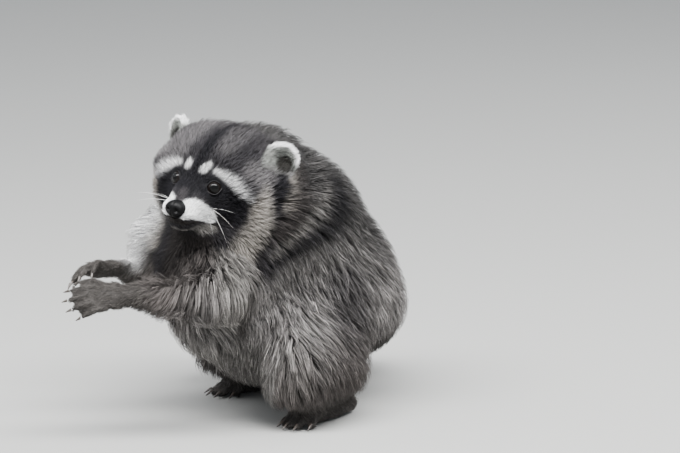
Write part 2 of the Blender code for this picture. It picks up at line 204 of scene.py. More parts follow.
def point_normals(points, triangles):
    a, b, c = corners(points, triangles)
    faces = np.cross(b - a, c - a)
    total = np.zeros_like(points)
    for k in range(3):
        for axis in range(3):
            total[:, axis] += np.bincount(triangles[:, k], faces[:, axis], minlength=len(points))
    return unit(total)


class Surface:
    """A triangle mesh that finds its nearest spot to any place, and reads values there."""

    def __init__(self, points, triangles):
        self.points, self.triangles = points, triangles
        self.tree = BVHTree.FromPolygons(points.tolist(), triangles.tolist())

    def nearest(self, places):
        found = [self.tree.find_nearest(place) for place in places.tolist()]
        spots = np.array([hit[0] for hit in found])
        faces = np.array([hit[2] for hit in found])
        a, b, c = corners(self.points, self.triangles[faces])
        u, v, w = b - a, c - a, spots - a
        uu, uv, vv = (u * u).sum(1), (u * v).sum(1), (v * v).sum(1)
        wu, wv = (w * u).sum(1), (w * v).sum(1)
        span = np.maximum(uu * vv - uv * uv, 1e-20)
        second = np.clip((vv * wu - uv * wv) / span, 0, 1)
        third = np.clip((uu * wv - uv * wu) / span, 0, 1)
        shares = np.stack([np.maximum(1 - second - third, 0), second, third], 1)
        return spots, faces, shares / shares.sum(1, keepdims=True)

    def read(self, values, faces, shares):
        return np.einsum("nk,nk...->n...", shares, values[self.triangles[faces]])


# ---- where things are ----


def middle(node):
    """The middle of a solid's own points."""
    return arrays(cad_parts[node].data)[0].mean(0)


def gap_to(points, kind):
    """Distance of each point, in centimetres, from the middle of a node or the nearer one of a pair."""
    names = [name for name in (kind, *(f"{kind}_{side}" for side in SIDES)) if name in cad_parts]
    return np.min([lengths(points - middle(name)) for name in names], axis=0) / CM


def head_axes():
    """Origin and axes of the head's frame, from the eyes and nose."""
    left, right, nose = middle("eye_left"), middle("eye_right"), middle("nose")
    across = unit(left - right)
    slope = unit((left + right) / 2 - nose)
    slope = unit(slope - across * (slope @ across))
    rise = np.cross(across, slope)
    forward, down = EYE_BACK - NOSE_SPOT[1], -NOSE_SPOT[2]
    reach = math.hypot(forward, down)
    c, s = forward / reach, down / reach
    back, up = c * slope - s * rise, s * slope + c * rise
    return (left + right) / 2 - back * EYE_BACK * CM, np.array([across, back, up])


HEAD_ORIGIN, HEAD_AXES = head_axes()


def in_head(points):
    """Places in the head's frame, in centimetres."""
    return (points - HEAD_ORIGIN) @ HEAD_AXES.T / CM


def in_half_head(points):
    """The same, with the right side laid over the left."""
    places = in_head(points)
    places[:, 0] = np.abs(places[:, 0])
    return places


def from_head(places):
    return HEAD_ORIGIN + np.asarray(places, float) * CM @ HEAD_AXES


def ear_matrix(side):
    """Frame of an ear: x across it, y back through it and z up to its tip."""
    sign = SIDES[side]
    matrix = Matrix(HEAD_AXES.T.tolist()).to_4x4()
    matrix.translation = HEAD_ORIGIN
    matrix = matrix @ Matrix.Translation(Vector((sign * EAR_AT[0], *EAR_AT[1:])) * CM)
    for angle, axis in ((sign * EAR_YAW, "Z"), (EAR_LEAN, "X"), (sign * EAR_SPLAY, "Y")):
        matrix = matrix @ Matrix.Rotation(math.radians(angle), 4, axis)
    return matrix


def in_frame(points, matrix):
    inverse = np.array(matrix.inverted())
    return (points @ inverse[:3, :3].T + inverse[:3, 3]) / CM


def eye_frame(side):
    """Centre of an eye, and the axes of its opening: outward along the slit, up, and out of the eye."""
    sign = SIDES[side]
    turn, lift, slant = (math.radians(angle) for angle in (EYE_TURN, EYE_LIFT, EYE_SLANT))
    level = math.cos(lift)
    out = np.array([sign * math.sin(turn) * level, -math.cos(turn) * level, math.sin(lift)])
    across = unit(np.cross(out, (0, 0, 1)) * -sign)
    up = np.cross(across, out) * -sign
    up = up if up[2] > 0 else -up
    slit = across * math.cos(slant) + up * math.sin(slant)
    rise = up * math.cos(slant) - across * math.sin(slant)
    return middle(f"eye_{side}"), np.array([slit, rise, out]) @ HEAD_AXES


EYE_RADIUS = float(np.ptp(arrays(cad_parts["eye_left"].data)[0][:, 2]) / 2)


# ---- the skin, inside the solids by the coat's depth ----


def flesh():
    """The flesh nodes as one rough body that closes their cuts, and a surface that knows their groups."""
    whole = bmesh.new()
    points, triangles, groups = [], [], []
    count = 0
    for name in FLESH_NODES:
        piece = bmesh.new()
        piece.from_mesh(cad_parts[name].data)
        bmesh.ops.remove_doubles(piece, verts=piece.verts, dist=0.01 * MM)
        bmesh.ops.triangulate(piece, faces=piece.faces)
        piece.normal_update()
        for vert in piece.verts:
            vert.co += vert.normal * SWELL
        mesh = mesh_of(piece, name)
        whole.from_mesh(mesh)
        places, faces = arrays(mesh)
        kind = "head" if name == "lower_jaw" else name.split("_")[0]
        points.append(places)
        triangles.append(faces + count)
        groups += [GROUPS.index(kind)] * len(faces)
        count += len(places)
    solid = Surface(np.concatenate(points), np.concatenate(triangles))
    return mesh_of(whole, "flesh"), solid, np.array(groups)


def coat_depth(points, groups):
    """Depth of the coat at each point, before it is blended between the parts."""
    depth = np.interp(gap_to(points, "nose"), DEPTH_AT_CM, DEPTH_MM)
    depth = np.minimum(depth, 5.5 + 12.0 * smoothstep(2.5, 6.0, gap_to(points, "ear")))
    depth[groups == EAR] = EAR_DEPTH_MM
    depth[groups == TAIL] = TAIL_DEPTH_MM
    depth[(groups == FOREPAW) | (groups == HINDPAW)] = PAW_DEPTH_MM
    for group, paw in ((FORELEG, "forepaw"), (HINDLEG, "hindpaw")):
        low, high = LEG_DEPTH_MM[group]
        share = smoothstep(*LEG_GROWS_CM[group], gap_to(points, paw))
        depth = np.where(groups == group, low + (high - low) * share, depth)
    return depth * MM


def about_eye(points, side):
    """The eye's centre, and of each point the way from it, the place in the opening (1 on its rim) and the
    distance out of the eye."""
    centre, axes = eye_frame(side)
    away = points - centre
    across, rise, out = (away @ axes.T).T
    return centre, away, np.hypot(across / EYE_OPEN[0], rise / EYE_OPEN[1]), out


def fit_eyes(points, edges):
    """The skin drawn over each eye outside its opening, and back behind the eye inside it."""
    for side in SIDES:
        centre, away, ring, out = about_eye(points, side)
        reach = lengths(away)
        front = out > -0.3 * EYE_RADIUS
        close = front & (reach < EYE_RADIUS * 2.2)
        inside = close & (ring < 1.25)
        over = close & (ring >= 1.25) & (reach < EYE_RADIUS + LID_THICK)
        wanted = reach.copy()
        wanted[inside] = np.minimum(reach[inside], EYE_RADIUS - 1.0 * MM)
        wanted[over] = EYE_RADIUS + LID_THICK * 0.6
        points = centre + away * (wanted / np.maximum(reach, 1e-9))[:, None]
        loose = (close & ~inside & ~over).astype(float)
        points = averaged(points, edges, 6, 0.5 * loose)
    return points


# Paths in the head's frame, the same on both sides, and one in the part's frame, all in centimetres.
MOUTH = ((0.0, -3.95, -3.1), (1.0, -3.4, -3.35), (1.75, -2.0, -3.55), (2.4, -0.5, -3.8), (2.8, 0.3, -4.05))
FACE_SIDE = ((4.4, 0.8, 1.8), (5.4, 1.6, -0.4), (5.4, 1.6, -2.4))
PHILTRUM = ((0.0, -4.3, -2.7), (0.0, -3.9, -3.1))
CHIN = ((0.0, -3.1, -4.2), (0.8, -2.7, -4.3))
SHOULDER_FOLD = ((10.0, 7.2, 26.6), (12.0, 6.5, 24.0), (12.7, 4.7, 22.1), (13.0, 0.7, 20.4),
                 (12.6, -1.6, 19.0), (11.9, -4.1, 17.9))


def to_path(points, path, widths=1.0):
    """Distance of each point from a path of straight runs, as shares of the path's width there."""
    spots = np.array(path, float)
    widths = np.broadcast_to(widths, len(spots))
    best = np.full(len(points), np.inf)
    for k in range(len(spots) - 1):
        run = spots[k + 1] - spots[k]
        t = np.clip((points - spots[k]) @ run / (run @ run), 0, 1)
        away = lengths(points - spots[k] - t[:, None] * run)
        best = np.minimum(best, away / (widths[k] * (1 - t) + widths[k + 1] * t))
    return best


def folds(points, normals):
    """The points pushed in at the mouth, the philtrum and the shoulder's fold, and out at the chin."""
    head = in_half_head(points)
    push = 2.2 * MM * np.exp(-((to_path(head, MOUTH) / 0.14) ** 2))
    push += 0.9 * MM * np.exp(-((to_path(head, PHILTRUM) / 0.1) ** 2))
    push -= 2.5 * MM * np.exp(-((to_path(head, CHIN) / 0.75) ** 2))
    push += 12 * MM * np.exp(-((to_path(points / CM, SHOULDER_FOLD) / 1.3) ** 2))
    return points - normals * push[:, None]


def finer_face(mesh):
    """Splits the faces of the muzzle and round the eyes once."""
    bm = bmesh.new()
    bm.from_mesh(mesh)
    places = in_head(np.array([vert.co for vert in bm.verts]))
    chosen = (places[:, 1] < 2.0) & (np.abs(places[:, 0]) < 4.6) & (np.abs(places[:, 2] + 1.2) < 3.8)
    edges = [e for e in bm.edges if chosen[e.verts[0].index] and chosen[e.verts[1].index]]
    bmesh.ops.subdivide_edges(bm, edges=edges, cuts=1, use_grid_fill=True)
    bmesh.ops.triangulate(bm, faces=bm.faces)
    bm.to_mesh(mesh)
    bm.free()
    return mesh


def make_skin():
    """Points, triangles, groups and coat depths of the skin."""
    rough, solid, solid_groups = flesh()
    obj = new_object("rough", rough)
    remesh = obj.modifiers.new("Fuse", "REMESH")
    remesh.mode = "VOXEL"
    remesh.voxel_size = SKIN_VOXEL
    points, triangles = arrays(finer_face(settled(obj)))
    edges = both_ways(triangles)
    groups = solid_groups[solid.nearest(points)[1]]
    rounds = np.array([*PRE_SMOOTHING.values()], float)[groups]
    share = averaged(rounds / max(PRE_SMOOTHING.values()), edges, 8) * 0.5
    points = averaged(points, edges, max(PRE_SMOOTHING.values()), share)
    depth = averaged(coat_depth(points, groups), edges, 14, np.where(groups == EAR, 0.1, 0.5))
    clear = smoothstep(*EYE_CLEAR_CM, gap_to(points, "eye"))
    depth = depth * clear + EYE_DEPTH_MM * MM * (1 - clear)
    head = in_half_head(points)
    inset = depth * (1 - 0.5 * band(head, FACE_SIDE, 2.6, 0.6))
    points = points - point_normals(points, triangles) * inset[:, None]
    points = averaged(points, edges, 10, np.clip(share, 0.02, 0.5))
    points = folds(points, point_normals(points, triangles))
    points = fit_eyes(points, edges)
    points[:, 2] = np.maximum(points[:, 2], CAD_BOX[0][2])
    return points, triangles, groups, depth


# ---- the lie of the coat ----

GRAVITY = {HEAD: 0.05, NECK: 0.45, TRUNK: 0.65, TAIL: 0.0, EAR: 0.0, FORELEG: 0.25, HINDLEG: 0.55,
           FOREPAW: 0.0, HINDPAW: 0.0}
PROXY_TRIANGLES = 16000


def way_from(points, triangles, start):
    """Distance of each point from a start, along the mesh's edges."""
    links = [[] for _ in points]
    edges = both_ways(triangles)
    gaps = lengths(points[edges[:, 0]] - points[edges[:, 1]])
    for (a, b), gap in zip(edges.tolist(), gaps.tolist()):
        links[a].append((b, gap))
    away = np.full(len(points), np.inf)
    first = int(np.argmin(lengths(points - start)))
    away[first] = 0
    queue = [(0.0, first)]
    while queue:
        so_far, at = heapq.heappop(queue)
        if so_far > away[at]:
            continue
        for other, gap in links[at]:
            if so_far + gap < away[other]:
                away[other] = so_far + gap
                heapq.heappush(queue, (so_far + gap, other))
    away[np.isinf(away)] = away[np.isfinite(away)].max()
    return averaged(away, edges, 6), edges


def slopes(points, triangles, heights):
    """The steepest way up at each point."""
    a, b, c = corners(points, triangles)
    ha, hb, hc = corners(heights[:, None], triangles)
    normal = np.cross(b - a, c - a)
    double = np.maximum((normal**2).sum(1, keepdims=True), 1e-18)
    rise = ha * np.cross(normal, c - b) + hb * np.cross(normal, a - c) + hc * np.cross(normal, b - a)
    total = np.zeros_like(points)
    for k in range(3):
        np.add.at(total, triangles[:, k], rise / double * np.sqrt(double))
    return total


def make_proxy(points, triangles, groups):
    """A light copy of the skin that carries its unwrap, the lie of the coat and the way from the nose."""
    obj = new_object("proxy", mesh_from("proxy", points, triangles))
    thin = obj.modifiers.new("Thin", "DECIMATE")
    thin.ratio = min(1.0, PROXY_TRIANGLES / len(triangles))
    mesh = settled(obj)
    unwrap = new_object("unwrap", mesh)
    bpy.context.view_layer.objects.active = unwrap
    unwrap.select_set(True)
    bpy.ops.object.mode_set(mode="EDIT")
    bpy.ops.mesh.select_all(action="SELECT")
    bpy.ops.uv.smart_project(angle_limit=math.radians(66), island_margin=0.004)
    bpy.ops.object.mode_set(mode="OBJECT")
    light, faces = arrays(mesh)
    spots = np.empty(len(mesh.loops) * 2)
    mesh.uv_layers.active.data.foreach_get("uv", spots)
    loops = np.empty(len(mesh.loop_triangles) * 3, np.int64)
    mesh.loop_triangles.foreach_get("loops", loops)
    proxy = Surface(light, faces)
    proxy.uv = spots.reshape(-1, 2)[loops.reshape(-1, 3)]
    bpy.data.objects.remove(unwrap)
    near = Surface(points, triangles).nearest(light)[1]
    light_groups = groups[triangles[near, 0]]
    proxy.away, edges = way_from(light, faces, middle("nose"))
    proxy.normals = point_normals(light, faces)
    lie = flattened(averaged(unit(slopes(light, faces, proxy.away)), edges, 8), proxy.normals)
    pull = averaged(np.array([*GRAVITY.values()])[light_groups], edges, 10)[:, None]
    lie = lie * (1 - pull) + np.array([0, 0, -1.0]) * pull
    proxy.lie = flattened(averaged(flattened(lie, proxy.normals), edges, 5), proxy.normals)
    return proxy


# ---- markings, the same for skin and coat ----

# Marks are painted in the order given. Each has a shade, a strength, the softness of its edge, and a path
# with its widths, in centimetres. These are in the part's frame:
TRUNK_MARKS = {
    # painted shade in the band between the flank and the rump
    "flank": (MAUVE, 0.75, 0.6, ((13.0, 6.3, 15.0), (13.5, 7.0, 10.4), (14.3, 5.5, 8.6)), 2.6),
    "chest": (PALE, 0.8, 0.7, ((10.2, -7.0, 20.0), (11.8, -8.4, 17.0), (10.8, -8.2, 13.0)), 2.4),
    # painted shade in the gap behind the chest, running on down from the shoulder's fold
    "behind the chest": (UMBER, 0.75, 0.7, (
        (11.9, -4.1, 17.9), (12.4, -5.7, 16.7), (11.8, -6.3, 14.8), (10.0, -5.6, 12.6), (9.5, -5.6, 10.6)),
        (0.9, 1.0, 0.9, 0.9, 0.9)),
}
THROAT_MARKS = {
    "throat": (UMBER, 0.9, 0.5, ((6.3, -10.1, 20.6), (3.5, -10.6, 20.6), (5.3, -10.9, 19.1)), 3.2),
}
RUMP_MARKS = {
    # dark low on the rump round the tail's root: partly the tail's black root, partly painted shade under the
    # rump
    "tail's base": (DARK, 0.9, 0.5, (
        (9.6, 13.3, 6.4), (9.4, 16.2, 6.0), (6.5, 19.2, 5.6), (3.1, 20.6, 4.8), (-0.5, 20.6, 3.3)),
        (1.8, 2.2, 2.2, 2.0, 1.9)),
}
NECK_MARKS = {
    # the far side's ruff: partly its pale fur, partly painted light where the light falls on it
    "far ruff": (WHITE, 0.7, 0.7, (
        (-2.4, -8.8, 23), (-3.3, -9.8, 21.9), (-4, -10.8, 19.4), (-3, -11.1, 18.3)), (2.0, 2.6, 2.6, 1.6)),
    "scarf": (UMBER, 0.85, 0.5, (
        (11.0, 1.5, 28.0), (12.25, 1.4, 26.4), (13.2, 0.0, 24.5), (13.1, -2.1, 22.1)), 1.8),
    "rim": (PALE, 0.55, 0.7, (
        (9.5, 6.7, 27.2), (11.6, 4.9, 25.3), (12.7, 2.7, 23.6), (13.3, -0.9, 21.4), (12.2, -3.1, 19.4)), 0.6),
    # painted shadow in the shoulder's fold, under the edge of the ruff
    "fold": (BLACK, 0.9, 0.6, SHOULDER_FOLD, (1.3, 1.4, 1.2, 0.95, 0.8, 0.5)),
}
# In the head's frame, on one side only:
FOREHEAD_MARKS = {
    "far side": (SMOKE, 0.5, 0.4, ((-3.6, 1.3, 3.1), (-2.8, 3.4, 5.0), (-2.5, 5.6, 5.8)), 2.0),
    "near side": (SMOKE, 0.4, 0.5, ((2.3, 1.9, 4.3), (2.3, 4.2, 5.2), (2.2, 6.0, 5.8)), 1.15),
}
MIDDLE_MARKS = {
    "midline": (BLACK, 1.0, 0.4, (
        (0, -1.2, 0.5), (0.05, -0.6, 1.1), (0.2, 0, 2.6), (0.4, 1.4, 4.4), (0.5, 3.8, 5.9), (0.5, 6, 6.3)),
        0.6),
    "near inner brow": (WHITE, 0.7, 0.55, ((0.8, -0.3, 1.65), (1.3, 0.05, 2.3)), 0.4),
    "far inner brow": (WHITE, 0.7, 0.55, ((-1.2, -0.3, 1.65), (-0.95, 0.05, 2.2)), 0.34),
}
# In the head's frame, the same on both sides:
CHEEK_MARKS = {
    "temple": (SMOKE, 0.85, 0.5, ((5.6, 2.6, 1.8), (6.4, 3.1, 1.2), (6.6, 3.0, -0.2)), 1.4),
    "cheek": (CREAM, 0.85, 0.6, (
        (6.4, 3, 0.2), (6.9, 2.6, -1.5), (7.1, 2.1, -3.2), (6.7, 1.7, -4.8), (6, 1.1, -6.3), (5.6, 0, -7.7)),
        (0.8, 1.15, 1.35, 1.45, 1.35, 1.1)),
}
FACE_MARKS = {
    "brow": (WHITE, 0.52, 0.8, (
        (2.3, 0.05, 1.9), (3.3, 0.35, 1.5), (4.3, 0.6, 0.95), (5.3, 1.15, 0), (5.9, 1.6, -0.6)),
        (0.32, 0.5, 0.62, 0.62, 0.5)),
    "mask": (BLACK, 1.0, 0.22, (
        (0.7, -0.8, 0.35), (2.2, -0.2, 0.1), (3.6, 0.6, -1.0), (4.9, 1.3, -2.3)), (1.25, 1.25, 1.2, 0.95)),
    "lower mask": (BLACK, 1.0, 0.35, ((3.1, 0.3, -1.5), (4.6, 1.2, -2.9)), (1.3, 1.2)),
    "bridge": (BLACK, 1.0, 0.3, ((0, -1.2, 0.3), (0, -2.2, -0.3)), 1.0),
    "muzzle": (WHITE, 1.0, 0.15, (
        (1.0, -3.4, -1.9), (1.6, -2.3, -2.0), (2.1, -1.0, -2.7), (2.4, -0.3, -3.3)), (1.12, 1.1, 0.85, 0.62)),
    "lower bridge": (MAUVE, 0.95, 0.4, ((0, -2.3, -0.5), (0, -3.3, -1.1)), 0.62),
    "jaw": (PALE, 0.75, 0.5, (
        (0, -3.2, -4.3), (1.0, -2.2, -4.7), (1.8, -0.9, -4.65), (2.6, -0.1, -4.45)), (0.3, 0.5, 0.65, 0.5)),
    "mouth": (UMBER, 0.95, 0.4, MOUTH, (0.5, 0.38, 0.18, 0.15, 0.15)),
    "nape": (CREAM, 0.9, 0.5, ((7.95, 6.6, 1.4), (8.8, 5.6, 0.2), (9.35, 4.6, -1.45)), 0.75),
}
BEHIND_EAR = ((7.35, 5.3, 1.0), (7.95, 4.8, 0.4), (8.3, 3.9, -0.8), (8.4, 3.4, -2.0))
BEHIND_EAR_WIDTHS = (0.8, 1.15, 0.9, 0.4)
TAIL_RINGS, RING_BLACK, BASE_BLACK = 6, 0.45, 0.85


def band(points, path, widths, soft=0.3):
    """1 within the width of a path, falling to 0 over the soft share of it."""
    return 1 - smoothstep(1 - soft, 1 + soft, to_path(points, path, widths))


def ear_shades(points, colours, groups):
    """White rims, painted shade in the hollows of pale fur, and backs grey at the foot."""
    for side, sign in SIDES.items():
        x, y, z = in_frame(points, ear_matrix(side)).T
        x = x * sign
        rim = np.hypot(x / EAR_HALF[0], z / EAR_HALF[2])
        on = ((groups == EAR) & (rim < 1.4)) | ((groups == HEAD) & (rim < 1.1) & (z > -1.4) & (y < 0.9))
        # painted shade deep in the ear's hollow
        hollow_shade = (1 - smoothstep(0.6, 1.0, np.hypot((x - 0.5) / 1.15, (z + 0.2) / 1.05))) * (y < 0.45)
        edge = smoothstep(0.68, 0.86, rim) * smoothstep(0.1, 0.9, z + 0.15 * x)
        back = smoothstep(0.3, 0.6, y) * (1 - smoothstep(-0.6, 0.3, z))
        colours[on] = paint(colours[on], ASH, 0.9)
        colours[on] = paint(colours[on], SMOKE, 0.8 * smoothstep(-0.3, -1.2, z - 0.3 * x)[on])
        for shade, mask in ((DARK, back), (WHITE, edge), (DARK, hollow_shade)):
            colours[on] = paint(colours[on], shade, mask[on])
    return colours


def paint(colours, shade, mask):
    mask = np.broadcast_to(mask, len(colours))[:, None]
    return colours * (1 - mask) + np.array(shade) * mask


def marked(colours, places, marks, fade=1.0):
    """The colours with each mark painted over the ones before it."""
    for shade, strength, soft, path, widths in marks.values():
        colours = paint(colours, shade, strength * band(places, path, widths, soft) * fade)
    return colours


def markings(points, normals, groups, away):
    """Colour of the coat at each point."""
    body, head, whole_head = points / CM, in_half_head(points), in_head(points)
    reach = lengths(head - NOSE_SPOT)
    colours = np.tile(np.array(BODY), (len(points), 1))
    on_head = 1 - smoothstep(12.0, 15.0, reach)
    # Trunk: dark along the back and shoulders, pale on the chest and flanks, with painted shade under the
    # belly and low down.
    under = smoothstep(12.0, 8.0, body[:, 2]) * smoothstep(2.4, -3.6, body[:, 1])
    colours = paint(colours, BELLY_SHADE, 0.8 * under)
    top = smoothstep(0.1, 0.8, normals[:, 2] + 0.75 * normals[:, 1]) * smoothstep(12.0, 22.0, body[:, 2])
    colours = paint(colours, BACK, 0.9 * top)
    colours = paint(colours, SHOULDER, 0.85 * smoothstep(14.0, 23.0, body[:, 2]))
    # Painted shade: darker towards the floor.
    colours = paint(colours, BELLY_SHADE, 0.6 * smoothstep(8.0, 2.0, body[:, 2]))
    colours = marked(colours, body, TRUNK_MARKS)
    # Limbs: brown-grey above, darker on the paws.
    for limb, paw in (((FORELEG, FOREPAW), "forepaw"), ((HINDLEG, HINDPAW), "hindpaw")):
        ends = gap_to(points, paw)
        on_limb = np.isin(groups, limb)
        colours = paint(colours, BROWN, smoothstep(14.0, 6.0, ends) * on_limb)
        colours = paint(colours, PAW_COLOUR, smoothstep(6.0, 3.5, ends) * on_limb)
    colours = marked(colours, body, THROAT_MARKS)
    # Tail: rings by the way along it, black at its base.
    tail = groups == TAIL
    if tail.any():
        start, end = np.quantile(away[tail], (0.02, 0.99))
        turn = (away - start) / (end - start) * TAIL_RINGS
        ring = 1 - smoothstep(RING_BLACK - 0.08, RING_BLACK + 0.08, np.abs((turn % 1) - 0.5) * 2)
        ring = np.maximum(ring, smoothstep(TAIL_RINGS - 0.7, TAIL_RINGS - 0.5, turn))
        ring = np.maximum(ring, 1 - smoothstep(BASE_BLACK - 0.1, BASE_BLACK + 0.1, turn))
        colours = np.where(tail[:, None], paint(paint(colours, PALE, 0.7), BLACK, 0.9 * ring), colours)
    colours = marked(colours, body, RUMP_MARKS)
    # Head, from the crown to the nose.
    crown = paint(colours, CROWN, on_head)
    crown = paint(crown, MAUVE, smoothstep(10.0, 13.0, reach) * on_head)
    crown = marked(crown, whole_head, FOREHEAD_MARKS, on_head)
    crown = marked(crown, head, CHEEK_MARKS, on_head)
    crown = paint(crown, UMBER, 0.9 * smoothstep(-4.9, -6.0, head[:, 2]) * smoothstep(3.6, 2.0, head[:, 0]))
    crown = marked(crown, whole_head, MIDDLE_MARKS)
    crown = marked(crown, head, FACE_MARKS)
    use = np.isin(groups, (HEAD, NECK, EAR, TRUNK))[:, None] * (on_head > 0)[:, None]
    colours = np.where(use, crown, colours)
    colours = marked(colours, body, NECK_MARKS)
    colours = ear_shades(points, colours, groups)
    patch = band(head, BEHIND_EAR, BEHIND_EAR_WIDTHS, 0.3) * (groups != EAR)
    return paint(colours, BLACK, patch)


# ---- the coat ----

LONG_FROM = 9 * MM  # where the coat is deeper, its tufts have a joint more
# Each kind of tuft: how many; where its rings are along it, and their girths; how many share a lock; its
# length, as a share of the coat's depth and in metres more; how it rises, draws together and waves; and
# its width in millimetres, at no depth and for each millimetre of depth.
LONG = {"kind": "long", "tufts": 54000, "stations": (0.0, 0.36, 0.72), "girths": (0.75, 1.0, 0.66),
        "lock": 10, "length": (1.55, 6 * MM), "rise": 1.9, "draw": 0.5, "wave": 0.035,
        "width_mm": (0.42, 0.023)}
SHORT = {"kind": "short", "tufts": 58000, "stations": (0.0, 0.55), "girths": (0.85, 0.8),
         "lock": 7, "length": (1.0, 3.6 * MM), "rise": 1.5, "draw": 0.3, "wave": 0.02,
         "width_mm": (0.48, 0.03)}
TIP_HEIGHTS = (0.5, 1.12)  # shares of the coat's depth
EAR_FRINGE = 1.8 * MM  # how far the ears' tufts stand out past their coat
GUIDE_STEPS = 5
PATCH = 0.003  # of each tuft on the bake map
RING_ANGLES = np.radians((90.0, 210.0, 330.0))
RING_FLAT = 0.6  # thickness of a tuft as a share of its width
OWN_MARK = 0.15  # share of a tuft's colour that it keeps from its lower part all the way along
PIECE_LIMIT = 190000  # triangles in one piece of the coat
REGION_NAMES = [f"coat_{group}s" if GROUPS.index(group) >= EAR else f"coat_{group}" for group in GROUPS]


def scattered(skin, normals, groups, depth, cover, wanted, density):
    """Roots spread over the skin, as many to an area as the density there asks."""
    points, triangles = skin
    a, b, c = corners(points, triangles)
    weight = lengths(np.cross(b - a, c - a)) * density[triangles].mean(1)
    total = np.cumsum(weight)
    marks = (np.arange(wanted) + DRAWS.random(wanted)) / wanted * total[-1]
    faces = np.minimum(np.searchsorted(total, marks), len(triangles) - 1)
    u, v = DRAWS.random((2, wanted))
    over = u + v > 1
    u, v = np.where(over, 1 - u, u), np.where(over, 1 - v, v)
    shares = np.stack([1 - u - v, u, v], 1)
    ends = triangles[faces]
    read = lambda values: np.einsum("nk,nk...->n...", shares, values[ends])
    return {"place": read(points), "normal": unit(read(normals)), "depth": read(depth), "cover": read(cover),
            "group": groups[ends[:, 0]]}


def guides(proxy, roots, chosen, length):
    """Paths over the skin that locks follow, with the normal at each station."""
    at = roots["place"][chosen]
    places, normals, ways = [], [], []
    for _ in range(GUIDE_STEPS + 1):
        spots, faces, shares = proxy.nearest(at)
        normal = unit(proxy.read(proxy.normals, faces, shares))
        way = flattened(proxy.read(proxy.lie, faces, shares), normal)
        places.append(spots)
        normals.append(normal)
        ways.append(way)
        at = spots + way * (length / GUIDE_STEPS)[:, None]
    return np.stack(places, 1), np.stack(normals, 1), np.stack(ways, 1)


def tufts(roots, proxy, shape):
    """Rings and tips of every tuft, and where each ring lies on the coat's top. Tufts of one lock follow its
    guide and draw together; those that hang under the animal are shorter. Notes the locks in roots."""
    count = len(roots["place"])
    depth = roots["depth"]
    length = shape["length"][0] * depth + shape["length"][1]
    length = length * (1 - 0.35 * smoothstep(0.1, -0.7, roots["normal"][:, 2]))
    ears = roots["group"] == EAR
    length = length + ears * DRAWS.uniform(0, 6 * MM, count)
    chosen = DRAWS.permutation(count)[: max(count // shape["lock"], 1)]
    sway = DRAWS.normal(0, 0.12, len(chosen))
    paths, normals, ways = guides(proxy, roots, chosen, length[chosen] * 1.15)
    tree = KDTree(len(chosen))
    for k, place in enumerate(roots["place"][chosen].tolist()):
        tree.insert(place, k)
    tree.balance()
    lock = np.array([tree.find(place)[1] for place in roots["place"].tolist()])
    roots["lock"], roots["locks"] = lock, len(chosen)
    own = np.clip(DRAWS.normal(1.0, 0.13, count), 0.6, 1.3) * length
    share = own / (length[chosen] * 1.15)[lock]
    offset = roots["place"] - paths[lock, 0]
    fringe = EAR_FRINGE * ears * DRAWS.uniform(0.2, 1.6, count)
    height = (depth + fringe) * DRAWS.uniform(*TIP_HEIGHTS, count)
    drawn = shape["draw"] * DRAWS.uniform(0.7, 1.15, count)
    phase = DRAWS.uniform(0, 2 * math.pi, len(chosen))[lock]
    rows, seen = [], []
    for t in (*shape["stations"], 1.0):
        at = np.clip(t * share * GUIDE_STEPS, 0, GUIDE_STEPS - 1e-6)
        low = at.astype(int)
        part = (at - low)[:, None]
        between = lambda row: row[lock, low] * (1 - part) + row[lock, low + 1] * part
        spot, normal, way = between(paths), unit(between(normals)), unit(between(ways))
        side = np.cross(normal, way)
        lift = height * (1 - (1 - t) ** shape["rise"]) - 0.4 * MM * (1 - t)
        wave = shape["wave"] * own * (np.sin(phase + 5.0 * t) - np.sin(phase)) * t + sway[lock] * own * t * t
        spot = spot + offset * (1 - drawn * t**1.3)[:, None] + side * wave[:, None]
        rows.append((spot + normal * lift[:, None], normal, side))
        seen.append((spot + normal * roots["cover"][:, None], own * t))
    least, grows = shape["width_mm"]
    widths = (least + grows * depth / MM) * MM * DRAWS.uniform(0.75, 1.25, count)
    rings = []
    for (spot, normal, side), girth in zip(rows[:-1], shape["girths"]):
        for angle in RING_ANGLES:
            swing = side * math.cos(angle) + normal * (RING_FLAT * math.sin(angle))
            rings.append(spot + swing * (widths * girth / 2)[:, None])
    points = np.stack([*rings, rows[-1][0]], 1)
    points[..., 2] = np.maximum(points[..., 2], CAD_BOX[0][2] + 0.2 * MM)
    return points, seen


def tuft_triangles(rings):
    """Triangles of one closed tuft: a three-sided blade to a point."""
    made = [(0, 2, 1)]
    last = 3 * (rings - 1)
    for ring in range(0, last, 3):
        for k in range(3):
            a, b = ring + k, ring + (k + 1) % 3
            made += [(a, b, b + 3), (a, b + 3, a + 3)]
    made += [(last + k, last + (k + 1) % 3, last + 3) for k in range(3)]
    return np.array(made)


